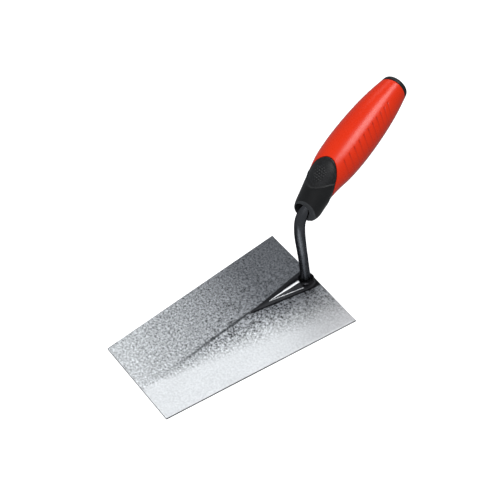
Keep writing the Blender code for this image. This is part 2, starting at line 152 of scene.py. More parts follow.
SLEEVE_EDGE = (                     # height over the spine, and distance from the butt
    (-20.0, 119.0),
    (-12.0, 114.0),
    (-4.4, 108.8),
    (3.0, 100.2),
    (8.5, 92.8),
    (10.9, 88.8),
    (13.7, 84.6),
    (16.1, 80.6),
    (17.4, 78.2),
    (24.0, 68.0),
)
MOUTH_Y = -5.6 * MM
MOUTH_Z = 88.0 * MM
MOUTH_DISTANCE = 118.0 * MM
MOUTH_TURN = math.radians(26.0)
MOUTH_SLACK = 0.15 * MM             # gap between the shank and the lower lip
HOLLOW = 3.9 * MM                   # extra room above the shank
LIP_WIDTH = 1.0 * MM
LIP_OUTER = ((0.03, 0.14, 0.0), (0.16, 0.02, 0.6), (0.45, 0.0, 1.0))  # in, back, share of the painted light on the rim
LIP_INNER = ((0.30, 0.0), (0.08, 0.08))  # short of the hole, back
LIP_DEPTH = 0.35 * MM
RIM_FROM = 104.0                    # in millimetres from the butt, before any of the rim
TUNNEL_ROW = 10.0                   # the mouth's tunnel has closed on the shank at this row
TUNNEL_ROWS = 15
BORE_END = 117.0 * MM               # how far the core's room reaches into the sleeve
BORE_LEAST = 1.0 * MM               # and its least length

SIDES = 288                         # points round the handle, and their angles from its top
PHI = np.linspace(0.0, 2 * math.pi, SIDES, endpoint=False)
GRIP_ROWS = 230
SLEEVE_ROWS = 150
SEAM_BLEND = 6                      # the pad's relief grows over this many rows
SHARP_ANGLE = math.radians(42.0)
SETTLING = 40                       # rounds that settle an edge on the barrel
EDGE_GUESS = 100.0 * MM             # where the sleeve's edge starts from in the first round


# ---- curves and surfaces


def interpolate(table, at):
    """Values of a table of (place, value) rows at places, on a smooth Catmull-Rom curve."""
    at = np.asarray(at, float)
    xs = np.array([row[0] for row in table], float)
    ys = np.array([row[1] for row in table], float)
    row = np.clip(np.searchsorted(xs, at, side="left") - 1, 0, len(xs) - 2)
    before, after = np.maximum(row - 1, 0), np.minimum(row + 2, len(xs) - 1)
    run = xs[row + 1] - xs[row]
    slope0 = (ys[row + 1] - ys[before]) / (xs[row + 1] - xs[before])
    slope1 = (ys[after] - ys[row]) / (xs[after] - xs[row])
    t = (at - xs[row]) / run
    return (
        (2 * t**3 - 3 * t**2 + 1) * ys[row]
        + (t**3 - 2 * t**2 + t) * run * slope0
        + (3 * t**2 - 2 * t**3) * ys[row + 1]
        + (t**3 - t**2) * run * slope1
    )


def smooth(low, high, at):
    """A smooth step from 0 to 1 between two values."""
    t = np.clip((np.asarray(at, float) - low) / (high - low), 0.0, 1.0)
    return t * t * (3.0 - 2.0 * t)


def barrel_radius(distance):
    """Radius of the handle; past the nose's last station it closes in a small dome."""
    reach = np.asarray(distance, float) / MM
    last, size = BARREL[-1]
    body = interpolate(BARREL, np.clip(reach, BARREL[0][0], last))
    past = np.clip((reach - last) / NOSE_DOME, 0.0, 1.0)
    return np.where(reach > last, size * np.sqrt(1.0 - past**2), body) * MM


def spine(distance):
    """Points of the handle's spine, with its direction and the direction square to it."""
    distance = np.asarray(distance, float)
    c, s = math.cos(HANDLE_TILT), math.sin(HANDLE_TILT)
    turn = np.maximum(distance - STRAIGHT_LENGTH, 0.0) / NOSE_BEND_RADIUS
    straight = np.minimum(distance, STRAIGHT_LENGTH) + NOSE_BEND_RADIUS * np.sin(turn)
    drop = NOSE_BEND_RADIUS * (1.0 - np.cos(turn))
    zero = np.zeros_like(distance)
    y = HEEL_Y + BUTT_Y - c * straight + s * drop
    z = BUTT_Z - s * straight - c * drop
    along = np.stack([zero, -c * np.cos(turn) + s * np.sin(turn), -s * np.cos(turn) - c * np.sin(turn)], -1)
    up = np.stack([zero, along[..., 2], -along[..., 1]], -1)
    return np.stack([zero, y, z], -1), along, up


def on_handle(distance, radius):
    """A ring round the handle, with a distance along the spine and a radius at each angle."""
    point, _, up = spine(distance)
    right = np.zeros_like(point)
    right[..., 0] = 1.0
    cos, sin = np.cos(PHI)[:, None], np.sin(PHI)[:, None]
    return point + (up * cos + right * sin) * np.asarray(radius)[..., None]


def make_piece(name, node, points, closed, material, extra=None):
    """A closed mesh through rings of points; a ring that is one point closes an end.

    closed joins the last ring to the first, and extra holds a value for each point by its name.
    """
    verts = np.concatenate([np.atleast_2d(ring) for ring in points])
    starts = np.cumsum([0] + [len(np.atleast_2d(ring)) for ring in points])
    quads, fans = [], []
    pairs = list(zip(range(len(points)), range(1, len(points))))
    if closed:
        pairs.append((len(points) - 1, 0))
    for a, b in pairs:
        ring_a = np.arange(starts[a], starts[a + 1])
        ring_b = np.arange(starts[b], starts[b + 1])
        if len(ring_a) > 1 and len(ring_b) > 1:
            quads.append(np.stack([ring_a, np.roll(ring_a, -1), np.roll(ring_b, -1), ring_b], 1))
        elif len(ring_a) > 1:
            fans.append(np.stack([ring_a, np.roll(ring_a, -1), np.full(len(ring_a), ring_b[0])], 1))
        else:
            fans.append(np.stack([np.roll(ring_b, -1), ring_b, np.full(len(ring_b), ring_a[0])], 1))
    faces = [face for group in quads + fans for face in group.tolist()]
    mesh = bpy.data.meshes.new(name)
    mesh.from_pydata(verts.tolist(), [], faces)
    return finish_piece(name, node, mesh, material, extra)


def finish_piece(name, node, mesh, material, extra=None):
    """Turn the faces outwards, shade, paint and place a mesh in the frame."""
    bm = bmesh.new()
    bm.from_mesh(mesh)
    bmesh.ops.recalc_face_normals(bm, faces=bm.faces)
    bm.to_mesh(mesh)
    bm.free()
    for label, values in (extra or {}).items():
        layer = mesh.attributes.new(label, "FLOAT", "POINT")
        layer.data.foreach_set("value", np.asarray(values, np.float32))
    mesh.shade_smooth()
    mesh.set_sharp_from_angle(angle=SHARP_ANGLE)
    mesh.materials.append(material)
    piece = bpy.data.objects.new(name, mesh)
    bpy.context.scene.collection.objects.link(piece)
    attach(piece, "root")
    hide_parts(node)
    return piece


# ---- materials


class Paint:
    """A material's node tree, with short calls for the nodes that these materials use."""

    def __init__(self, name):
        self.material = bpy.data.materials.new(name)
        self.material.use_nodes = True
        self.tree = self.material.node_tree
        self.shader = self.tree.nodes["Principled BSDF"]
        self.place = self.add("ShaderNodeTexCoord").outputs["Object"]

    def add(self, kind, **values):
        node = self.tree.nodes.new(kind)
        for key, value in values.items():
            setattr(node, key, value)
        return node

    def link(self, source, target):
        self.tree.links.new(source, target)

    def stretched(self, scale):
        """The place with its axes scaled, for marks that run one way."""
        node = self.add("ShaderNodeMapping")
        node.inputs["Scale"].default_value = scale
        self.link(self.place, node.inputs["Vector"])
        return node.outputs["Vector"]

    def noise(self, scale, detail=3.0, rough=0.55, vector=None):
        """Cloudy values from 0 to 1, with about scale clouds to the metre."""
        node = self.add("ShaderNodeTexNoise")
        node.inputs["Scale"].default_value = scale
        node.inputs["Detail"].default_value = detail
        node.inputs["Roughness"].default_value = rough
        self.link(vector or self.place, node.inputs["Vector"])
        return node.outputs["Fac"]

    def ramp(self, value, stops):
        """A colour or a grey that follows a value from 0 to 1."""
        node = self.add("ShaderNodeValToRGB")
        while len(node.color_ramp.elements) < len(stops):
            node.color_ramp.elements.new(0.5)
        for element, (at, color) in zip(node.color_ramp.elements, stops):
            element.position = at
            element.color = (*color, 1.0) if isinstance(color, tuple) else (color, color, color, 1.0)
        self.link(value, node.inputs["Fac"])
        return node.outputs["Color"]

    def span(self, value, low, high, to_low, to_high, way="LINEAR"):
        """A value carried from one range to another, and held at its ends."""
        node = self.add("ShaderNodeMapRange", interpolation_type=way)
        for key, number in zip(("From Min", "From Max", "To Min", "To Max"), (low, high, to_low, to_high)):
            node.inputs[key].default_value = number
        self.link(value, node.inputs["Value"])
        return node.outputs["Result"]

    def math(self, operation, a, b=None, third=None):
        """A sum of numbers and sockets."""
        node = self.add("ShaderNodeMath", operation=operation)
        for socket, item in zip(node.inputs, (a, b, third)):
            if item is None:
                continue
            if isinstance(item, (int, float)):
                socket.default_value = item
            else:
                self.link(item, socket)
        return node.outputs["Value"]

    def mix(self, share, a, b):
        """Colour a, with a share of colour b from 0 to 1."""
        node = self.add("ShaderNodeMix", data_type="RGBA")
        for socket, item in zip((node.inputs[0], node.inputs[6], node.inputs[7]), (share, a, b)):
            if isinstance(item, tuple):
                socket.default_value = (*item, 1.0)
            elif isinstance(item, (int, float)):
                socket.default_value = item
            else:
                self.link(item, socket)
        return node.outputs[2]

    def scaled(self, color, factor):
        """A colour made brighter or darker."""
        node = self.add("ShaderNodeVectorMath", operation="SCALE")
        self.link(color, node.inputs[0])
        self.link(factor, node.inputs["Scale"])
        return node.outputs["Vector"]

    def attribute(self, name):
        """The values that a mesh carries under a name."""
        node = self.add("ShaderNodeAttribute", attribute_name=name)
        return node.outputs["Fac"]

    def axes(self):
        """The place's X, Y and Z."""
        node = self.add("ShaderNodeSeparateXYZ")
        self.link(self.place, node.inputs["Vector"])
        return node.outputs["X"], node.outputs["Y"], node.outputs["Z"]

    def bump(self, height, distance, strength, after=None):
        """A normal from heights; distance is the relief in metres."""
        node = self.add("ShaderNodeBump")
        node.inputs["Strength"].default_value = strength
        node.inputs["Distance"].default_value = distance
        self.link(height, node.inputs["Height"])
        if after is not None:
            self.link(after, node.inputs["Normal"])
        return node.outputs["Normal"]

    def set(self, name, value):
        """Give the shader a number, a colour or a socket."""
        socket = self.shader.inputs[name]
        if isinstance(value, tuple):
            socket.default_value = (*value, 1.0)
        elif isinstance(value, (int, float)):
            socket.default_value = value
        else:
            self.link(value, socket)


GRAIN_SCALE = 540.0                 # grains of the blade's mottle in one metre
GRAIN_GAIN = 7.5                    # brings that noise to about one unit of spread
GRAIN_ON_BRIGHT = 0.10              # how strong it is where no shade is painted on the steel,
GRAIN_ON_SHADE = [(0.1, 0.36), (0.45, 0.60), (0.7, 0.56), (0.98, 0.30)]  # what the painted shade adds, heel to toe,
GRAIN_RIGHT = (0.45, 0.12)          # and what the shank's painted reflection right of the ridge adds, heel to toe
DARKEST_GRAIN = 0.10
WANDER = 0.006                      # how far the borders of the painted shade wander
SHANK_REFLECTION_WIDTH = 0.036                  # width of the shank's painted reflection right of the ridge, at the heel
SHANK_REFLECTION_WIDTH_AT_TOE = 0.0015
BORDER_SOFTNESS = (0.0010, 0.0085)  # of the painted shade's border on the ridge, heel to toe
RIDGE_DRIFT = (-0.0012, 0.0085)     # how far right the ridge's line drifts, tip of the forging to toe
CREASE_WIDTH = (0.0006, 0.0018)     # the painted shade line on the ridge: full to here, gone here
FOOT_SHADE_WIDTH = (0.0004, 0.0016)       # the same for the painted shade round the forging's foot
BRIGHT_TONE = (0.70, 0.72, 0.735)
# painted shade in the ridge's crease
CREASE_SHADE_TONE = (0.04, 0.042, 0.046)
# painted shade round the forging's foot
FOOT_SHADE_TONE = (0.009, 0.009, 0.010)
# painted shade on the plate's edge faces
EDGE_SHADE_TONE = (0.035, 0.036, 0.04)
PAINTED_SHADE_TONES = [                      # painted shade, from the heel, 0, to the toe, 1
    (0.0, (0.120, 0.127, 0.138)),
    (0.25, (0.145, 0.153, 0.166)),
    (0.5, (0.30, 0.313, 0.328)),
    (0.75, (0.42, 0.437, 0.452)),
    (1.0, (0.58, 0.60, 0.615)),
]


def painted_shade_share(p, across, back):
    """Where shade is painted: all of the plate left of the ridge, and the shank's fading painted reflection
    right of it.
    """
    width = p.span(back, 0.0, 0.95, SHANK_REFLECTION_WIDTH, SHANK_REFLECTION_WIDTH_AT_TOE)
    fade = p.span(p.math("DIVIDE", across, width), 0.15, 1.75, 1.0, 0.0, "SMOOTHSTEP")
    soft = p.span(back, 0.3, 1.0, *BORDER_SOFTNESS)
    left = p.span(p.math("DIVIDE", across, soft), -1.0, 1.0, 1.0, 0.0, "SMOOTHSTEP")
    return p.math("MAXIMUM", fade, left), left


def mottled(p, tone, share, left, back, grain):
    """The tone with the plate's grain on it, which is stronger where shade or the shank's reflection is
    painted.
    """
    amount = p.math("MULTIPLY_ADD", share, p.ramp(back, GRAIN_ON_SHADE), GRAIN_ON_BRIGHT)
    right = p.math("MULTIPLY", share, p.math("SUBTRACT", 1.0, left))
    more = p.math("MULTIPLY", right, p.span(back, 0.4, 0.8, *GRAIN_RIGHT))
    spots = p.math("MULTIPLY", p.math("SUBTRACT", grain, 0.5), GRAIN_GAIN)
    factor = p.math("MULTIPLY_ADD", spots, p.math("ADD", more, amount), 1.0)
    return p.scaled(tone, p.math("MAXIMUM", factor, DARKEST_GRAIN))


def crease_shaded(p, tone, line, wander, back, grain):
    """The tone with a painted shade line that runs on along the ridge's crease and fades towards the toe.
    """
    bent = p.math("ABSOLUTE", p.math("ADD", line, p.math("MULTIPLY", wander, 0.35)))
    near = p.span(bent, *CREASE_WIDTH, 1.0, 0.0)
    wear_and_fade = p.math("MULTIPLY", p.span(back, 0.60, 0.92, 1.0, 0.0), p.span(grain, 0.35, 0.65, 1.0, 0.7))
    return p.mix(p.math("MULTIPLY", near, wear_and_fade), tone, CREASE_SHADE_TONE)


def foot_shaded(p, tone, x, back):
    """The tone with a painted shade outline round the forging's foot."""
    taper = SPEAR_HALF_WIDTH * BLADE_LENGTH / (SPEAR_TIP - SHANK_SET_IN)
    past = p.math("SUBTRACT", back, SHANK_SET_IN / BLADE_LENGTH)
    half = p.math("MINIMUM", p.math("MULTIPLY_ADD", past, -taper, SPEAR_HALF_WIDTH), SPEAR_HALF_WIDTH)
    outside = p.math("SUBTRACT", p.math("ABSOLUTE", x), half)
    foot_shade = p.span(outside, *FOOT_SHADE_WIDTH, 0.95, 0.0)
    foot_shade = p.math("MULTIPLY", foot_shade, p.span(back, 0.345, 0.375, 1.0, 0.0))
    return p.mix(foot_shade, tone, FOOT_SHADE_TONE)


def steel_paint():
    """Ground steel, with painted shade by the heel and left of the ridge, the shank's painted reflection
    right of it, and bright elsewhere.
    """
    p = Paint("ground_steel")
    x, y, _ = p.axes()
    back = p.math("MULTIPLY", p.math("SUBTRACT", HEEL_Y, y), 1.0 / BLADE_LENGTH)
    cloud = p.noise(30.0, 3.0, 0.5)
    coarse = p.noise(GRAIN_SCALE, 2.0, 0.6)
    fleck = p.noise(GRAIN_SCALE * 1.9, 1.0, 0.5)
    grain = p.math("ADD", p.math("MULTIPLY", coarse, 0.7), p.math("MULTIPLY", fleck, 0.3))
    drawn = p.noise(260.0, 3.0, 0.6, vector=p.stretched((1.0, 0.22, 1.0)))
    wander = p.math("MULTIPLY", p.math("SUBTRACT", cloud, 0.5), WANDER)
    line = p.math("SUBTRACT", x, p.span(back, 0.36, 0.98, *RIDGE_DRIFT))
    share, left = painted_shade_share(p, p.math("ADD", line, wander), back)
    # painted shade left of the ridge and by the heel, and the shank's painted reflection right of the ridge
    tone = p.mix(share, BRIGHT_TONE, p.ramp(back, PAINTED_SHADE_TONES))
    tone = mottled(p, tone, share, left, back, grain)
    # painted shade line along the ridge's crease
    tone = crease_shaded(p, tone, line, wander, back, grain)
    # painted shade round the forging's foot
    tone = foot_shaded(p, tone, x, back)
    # painted shade on the plate's edge faces, marked by the edge values
    p.set("Base Color", p.mix(p.attribute("edge"), tone, EDGE_SHADE_TONE))
    p.set("Metallic", 1.0)
    p.set("Roughness", p.span(drawn, 0.25, 0.75, 0.44, 0.54))
    p.set("Normal", p.bump(drawn, 0.0003, 0.2, p.bump(grain, 0.00025, 0.35)))
    return p.material


def highlight_steel_paint():
    """Bright steel for the tongue: a painted highlight on its crest and on its right foot's ground border,
    with fine cross scratches.
    """
    p = Paint("tongue_highlight")
    scratch = p.noise(900.0, 3.0, 0.6, vector=p.stretched((1.0, 0.3, 1.0)))
    p.set("Base Color", p.ramp(scratch, [(0.25, (0.55, 0.56, 0.58)), (0.7, (0.92, 0.93, 0.95))]))
    p.set("Metallic", 1.0)
    p.set("Roughness", p.span(scratch, 0.2, 0.8, 0.22, 0.42))
    p.set("Normal", p.bump(scratch, 0.0001, 0.4))
    return p.material


BLACK_STEELS = {                    # tone, its thin spots, roughness from and to, depth of the dents
    "forged_black": ((0.034, 0.035, 0.038), (0.09, 0.09, 0.10), 0.36, 0.50, 0.0004),
    "weld_black": ((0.022, 0.022, 0.024), (0.07, 0.07, 0.075), 0.26, 0.40, 0.0006),
    "lacquered_black": ((0.105, 0.109, 0.118), (0.14, 0.14, 0.15), 0.22, 0.32, 0.0003),
}
GRAZING_TINT = (0.30, 0.30, 0.32)   # keeps black steel dark where it turns away


def black_steel_paint(name, tone, thin, rough_low, rough_high, lump):
    """Blackened forged steel, with dents, fine scale and a few thin spots."""
    p = Paint(name)
    scale = p.noise(700.0, 3.0, 0.5)
    dents = p.noise(95.0, 3.0, 0.55)
    spots = p.noise(240.0, 4.0, 0.65)
    base = p.ramp(dents, [(0.3, tuple(v * 0.85 for v in tone)), (0.75, tuple(v * 1.2 for v in tone))])
    p.set("Base Color", p.mix(p.span(spots, 0.62, 0.76, 0.0, 0.6), base, thin))
    p.set("Metallic", 1.0)
    p.set("Specular Tint", GRAZING_TINT)
    p.set("Roughness", p.span(p.noise(60.0, 3.0), 0.3, 0.7, rough_low, rough_high))
    p.set("Normal", p.bump(scale, 0.00012, 0.25, p.bump(dents, lump, 0.5)))
    return p.material


RED_TONES = [(0.3, (0.61, 0.021, 0.001)), (0.7, (0.66, 0.026, 0.002))]
# painted shade in the grip's grooves
GROOVE_SHADE_TONE = (0.24, 0.010, 0.006)
SLEEVE_TONES = [(0.3, (0.0045, 0.0048, 0.0052)), (0.7, (0.0070, 0.0073, 0.0078))]
LEATHER_TONE = (0.022, 0.023, 0.025)
# painted light on the mouth's lip
RIM_LIGHT_TONE = (0.040, 0.042, 0.045)


def red_paint():
    """Glossy red moulding: even colour with slight flow clouds, fine grain, and painted shade in its
    grooves.
    """
    p = Paint("grip_red")
    cloud = p.noise(26.0, 2.0, 0.5)
    grain = p.noise(1700.0, 2.0, 0.5)
    dust = p.noise(420.0, 4.0, 0.7)
    # the groove values paint shade in the grooves
    p.set("Base Color", p.mix(p.attribute("groove"), p.ramp(cloud, RED_TONES), GROOVE_SHADE_TONE))
    wear_and_fade = p.span(dust, 0.35, 0.7, 0.0, 0.07)
    p.set("Roughness", p.math("ADD", p.span(cloud, 0.3, 0.7, 0.24, 0.28), wear_and_fade))
    p.set("Normal", p.bump(grain, 0.00006, 0.35))
    p.set("Specular IOR Level", 0.34)
    return p.material


def sleeve_paint():
    """Satin black soft plastic: smooth collar, a leathery grain on the thumb pad, and painted light on the
    mouth's lip.
    """
    p = Paint("sleeve_black")
    pad = p.attribute("pad")
    leather = p.noise(900.0, 3.0, 0.55)
    fine = p.noise(2300.0, 2.0, 0.5)
    cloud = p.noise(70.0, 3.0, 0.5)
    grain = p.math("MULTIPLY", p.span(leather, 0.45, 0.65, 0.0, 0.6), pad)
    base = p.mix(grain, p.ramp(cloud, SLEEVE_TONES), LEATHER_TONE)
    # painted light on the mouth's lip
    p.set("Base Color", p.mix(p.attribute("rim"), base, RIM_LIGHT_TONE))
    p.set("Roughness", p.math("ADD", p.span(cloud, 0.3, 0.7, 0.36, 0.44), p.math("MULTIPLY", pad, 0.06)))
    p.set("Specular IOR Level", 0.32)
    relief = p.math("ADD", p.math("MULTIPLY", leather, pad), p.math("MULTIPLY", fine, 0.25))
    p.set("Normal", p.bump(relief, 0.00028, 0.5))
    return p.material


def plastic_paint(name, color, rough, grain_scale, depth):
    """Moulded plastic with a fine even grain and faint scuffs."""
    p = Paint(name)
    grain = p.noise(grain_scale, 2.0, 0.5)
    scuff = p.noise(130.0, 5.0, 0.7)
    lighter = tuple(v * 1.8 + 0.01 for v in color)
    p.set("Base Color", p.mix(p.span(scuff, 0.55, 0.75, 0.0, 0.5), color, lighter))
    p.set("Roughness", p.span(scuff, 0.35, 0.7, rough, rough + 0.12))
    p.set("Specular IOR Level", 0.30)
    p.set("Normal", p.bump(grain, depth, 0.4))
    return p.material


FLOOR_GLOW = 0.50                   # strength of its own light under the tool
FLOOR_BRIGHT_TO = 0.42              # it is pale this far from the tool's middle
FLOOR_GREY_AT = 1.1                 # and grey from here on
FLOOR_GREY = (0.45, 0.45, 0.45)


def floor_paint():
    """Pale matt studio floor, fading to grey away from the tool."""
    p = Paint("studio_floor")
    x, y, _ = p.axes()
    away = p.math("SQRT", p.math("ADD", p.math("MULTIPLY", x, x), p.math("MULTIPLY", y, y)))
    far = p.span(away, FLOOR_BRIGHT_TO, FLOOR_GREY_AT, 0.0, 1.0, "SMOOTHSTEP")
    cloth = p.noise(3.0, 2.0)
    p.set("Base Color", p.mix(far, p.ramp(cloth, [(0.3, 0.89), (0.7, 0.92)]), FLOOR_GREY))
    p.set("Roughness", 0.9)
    p.set("Specular IOR Level", 0.0)
    p.set("Emission Color", (1.0, 1.0, 1.0))
    p.set("Emission Strength", p.span(far, 0.0, 1.0, FLOOR_GLOW, 0.0))
    return p.material


# ---- the blade and its forging


def blade_half_width(y):
    """Half the plate's width; y is 0 at the heel edge and falls towards the toe."""
    return (HEEL_WIDTH + (TOE_WIDTH - HEEL_WIDTH) * (-y / BLADE_LENGTH)) / 2


def blade_top(x, y):
    """Height of the plate's top, which rises to a ridge that fades towards the toe."""
    fade = smooth(RIDGE_FULL_TO, RIDGE_FADES_AT, -np.asarray(y))
    share = 1.0 - np.abs(x) / blade_half_width(y)
    return EDGE_THICKNESS + RIDGE_RISE * (1.0 - fade) * share


def waviness(x, y):
    """Low waves that rolling and grinding leave in the plate, a few hundredths of a millimetre."""
    spot = Vector((x * 26.0, y * 17.0, 0.4))
    return noise.noise(spot) * 0.05 * MM + noise.noise(spot * 2.7) * 0.02 * MM


def make_blade(material):
    """The plate as rings across it: chamfered edges, flat underside, ridged top."""
    rings, edges = [], []
    for n in range(PLATE_STATIONS + 1):
        y = -BLADE_LENGTH * n / PLATE_STATIONS
        half = blade_half_width(y)
        flat = half - CHAMFER
        xs = np.linspace(-flat, flat, PLATE_COLUMNS + 1)
        lift = np.array([waviness(x, y) for x in xs])
        top = np.stack([xs, np.full_like(xs, y), blade_top(xs, y) + lift], 1)
        edge = float(blade_top(half, y)) - CHAMFER
        right = [(half, y, edge), (half, y, CHAMFER), (flat, y, 0.0)]
        left = [(-flat, y, 0.0), (-half, y, CHAMFER), (-half, y, edge)]
        ring = np.concatenate([top, right, left])
        # side is 1 on the edge faces, which get painted shade
        side = np.concatenate([np.zeros(len(top)), np.ones(len(right) + len(left))])
        if n in (0, PLATE_STATIONS):
            inward = ring.copy()
            inward[:, 0] *= flat / half
            inward[:, 2] = np.clip(inward[:, 2], CHAMFER, edge)
            ring[:, 1] += -CHAMFER if n == 0 else CHAMFER
            rings += [inward, ring] if n == 0 else [ring, inward]
            edges += [np.ones_like(side), side] if n == 0 else [side, np.ones_like(side)]
        else:
            rings.append(ring)
            edges.append(side)
    for ring in rings:
        ring[:, 1] += HEEL_Y
    first, last = rings[0].mean(0, keepdims=True), rings[-1].mean(0, keepdims=True)
    marks = {"edge": np.concatenate([[1.0], *edges, [1.0]])}
    make_piece("blade_plate", "blade", [first, *rings, last], False, material, marks)


def foot_ring(y, half, base, height):
    """A ring of the forging; half and base are the half widths of its spear and of its tongue."""
    lift = SPEAR_LIFT
    crest = lift + SPEAR_HEIGHT
    border = min(BORDER_WIDTH, base * 0.4)
    rise = min(BORDER_RISE, height * 0.3)
    top = min(CREST_HALF_WIDTH, base * 0.35)
    foot = base - border
    right = [
        (half, lift),
        (half - 0.05 * MM, lift + SPEAR_HEIGHT * 0.35),
        (half - 0.28 * MM, lift + SPEAR_HEIGHT * 0.7),
        (half - 0.8 * MM * min(1.0, half / (4.0 * MM)), lift + SPEAR_HEIGHT * 0.9),
        (base + 0.2 * MM, crest - 0.03 * MM),
        (base, crest),
        (foot, crest + rise),
        (foot * 0.66 + top * 0.34, crest + rise + (height - rise) * 0.22),
        (foot * 0.3 + top * 0.7, crest + rise + (height - rise) * 0.62),
        (top, crest + height * 0.94),
        (top * 0.5, crest + height),
    ]
    points = [(0.0, lift)] + right + [(0.0, crest + height)]
    points += [(-x, h) for x, h in reversed(right)]
    return np.array([(x, y + HEEL_Y, float(blade_top(x, y)) + h) for x, h in points])


def spear_half(distance):
    """Half width of the spear: round at the heel, widest at the shank and straight to its tip."""
    if distance < SHANK_SET_IN:
        lead = (distance - FORGING_FROM) / (SHANK_SET_IN - FORGING_FROM)
        return SPEAR_HALF_WIDTH * (0.5 + 0.5 * math.sqrt(1.0 - (1.0 - lead) ** 2))
    share = (distance - SHANK_SET_IN) / (SPEAR_TIP - SHANK_SET_IN)
    return SPEAR_HALF_WIDTH + (TIP_HALF_WIDTH - SPEAR_HALF_WIDTH) * share


def make_foot(black, bright):
    """The spear-shaped forging on the ridge, with a painted highlight on its tongue's crest and right
    foot's ground border.
    """
    rings = []
    for distance in np.linspace(FORGING_FROM, FORGING_TO, FORGING_STATIONS):
        half = spear_half(distance)
        run = (distance - TONGUE_START) / (TONGUE_TIP - TONGUE_START)
        inside = float(smooth(-0.03, 0.02, run) * (1.0 - smooth(0.97, 1.03, run)))
        share = min(max(run, 0.0), 1.0)
        tongue = TONGUE_HALF_WIDTH + (TIP_HALF_WIDTH - TONGUE_HALF_WIDTH) * share
        height = TONGUE_HEIGHT * (1.0 - share) ** TONGUE_FALL * inside + BED
        wobble = noise.noise(Vector((0.0, distance * 90.0, 2.0))) * 0.12 * MM
        wobble *= half > 2.0 * MM
        rings.append(foot_ring(-distance, half + wobble, min(tongue, half * 0.78), height))
    ends = [rings[0].mean(0, keepdims=True), rings[-1].mean(0, keepdims=True)]
    foot = make_piece("forged_foot", "foot", [ends[0], *rings, ends[1]], False, black)
    foot.data.materials.append(bright)
    count = len(rings[0])
    for face in foot.data.polygons:
        if len(face.vertices) < 4:
            continue
        columns = sorted({(v - 1) % count for v in face.vertices})
        y = face.center.y - HEEL_Y
        # the crest and the right foot's border take bright steel, a painted highlight
        if -TONGUE_TIP - 1.0 * MM < y < -TONGUE_START - 0.4 * MM and columns in HIGHLIGHT_COLUMNS:
            face.material_index = 1


def foot_top():
    """Height of the forging's top where the shank stands on it."""
    return float(blade_top(0.0, -SHANK_SET_IN)) + SPEAR_LIFT + SPEAR_HEIGHT + 0.15 * MM


def make_weld(material):
    """The lumpy fillet of weld round the shank's lower end."""
    base = foot_top() + SPEAR_LIFT
    inner = SHANK_PATH[0][2] * MM + 0.2 * MM
    angles = np.linspace(0.0, 2 * math.pi, WELD_SIDES, endpoint=False)
    lump = np.array([noise.noise(Vector((math.cos(a) * 2.2, math.sin(a) * 2.2, 5.0))) for a in angles])
    rings = []
    for n in range(WELD_ROWS + 1):
        turn = math.pi / 2 * n / WELD_ROWS
        ripple = np.sin(angles * 15.0 + lump * 3.0) * 0.10 * MM * math.sin(turn * 2.0)
        reach = (WELD_RADIUS - inner) * (1.0 - 0.88 * math.cos(turn))
        radius = inner + reach + lump * 0.45 * MM * math.sin(turn) + ripple
        height = WELD_HEIGHT * (1.0 - 0.9 * math.sin(turn)) * (1.0 + lump * 0.25)
        rings.append((radius, height))
    flat, bore = np.zeros_like(angles), np.full_like(angles, inner)
    rings += [(rings[-1][0], flat), (bore, flat), (bore, flat + WELD_HEIGHT)]
    points = [
        np.stack([r * np.cos(angles), r * np.sin(angles) - SHANK_SET_IN + HEEL_Y, base + h], 1)
        for r, h in rings
    ]
    make_piece("weld_fillet", "weld_bead", points, True, material)


def shank_at(row):
    """Place and radius of the shank at a fractional row of its path."""
    rows = list(enumerate(SHANK_PATH))
    y, z, r = (float(interpolate([(n, item[k]) for n, item in rows], row)) for k in range(3))
    return np.array((0.0, y * MM + HEEL_Y, z * MM)), r * MM


def make_shank(material):
    """The forged rod: a gooseneck whose surface is slightly uneven from the hammer."""
    angles = np.linspace(0.0, 2 * math.pi, SHANK_SIDES, endpoint=False)
    rows = np.linspace(0.0, len(SHANK_PATH) - 1.0, SHANK_STEPS)
    places = [shank_at(row) for row in rows]
    rings = []
    for n, (point, radius) in enumerate(places):
        ahead, behind = places[min(n + 1, SHANK_STEPS - 1)][0], places[max(n - 1, 0)][0]
        along = (ahead - behind) / np.linalg.norm(ahead - behind)
        side = np.array((1.0, 0.0, 0.0))
        other = np.cross(along, side)
        ring = []
        for angle in angles:
            way = side * math.cos(angle) + other * math.sin(angle)
            spot = Vector((point + way * radius) * 120.0)
            dent = noise.noise(spot) * 0.10 * MM + noise.noise(spot * 3.1) * 0.03 * MM
            ring.append(point + way * (radius + dent))
        rings.append(np.array(ring))
    rings[0][:, 2] = places[0][0][2]
    ends = [places[0][0][None, :], places[-1][0][None, :]]
    make_piece("shank_rod", "shank", [ends[0], *rings, ends[1]], False, material)


# ---- the handle


def settled(start, place_of):
    """Distances that agree with a rule which places a point by the barrel's radius there."""
    distance = np.full_like(PHI, start)
    for _ in range(SETTLING):
        distance = distance * 0.5 + place_of(barrel_radius(distance)) * 0.5
    return distance


def sleeve_edge():
    """Distance from the butt of the sleeve's rear edge at each angle round the handle."""
    rise = np.cos(PHI - HANDLE_TURN)
    return settled(EDGE_GUESS, lambda radius: interpolate(SLEEVE_EDGE, radius * rise / MM) * MM)


def leaning(start, lean, radius):
    """Distance from the butt of a plane that leans as the cap does, at each angle and a radius."""
    return start - radius * math.tan(lean) * np.cos(PHI - CAP_TURN)


def cap_edge(start, lean):
    """The same where the plane meets the barrel's surface."""
    return settled(start, lambda radius: leaning(start, lean, radius))


def wrapped(angle):
    """The angle between -180 and 180 degrees."""
    return (angle + math.pi) % (2 * math.pi) - math.pi


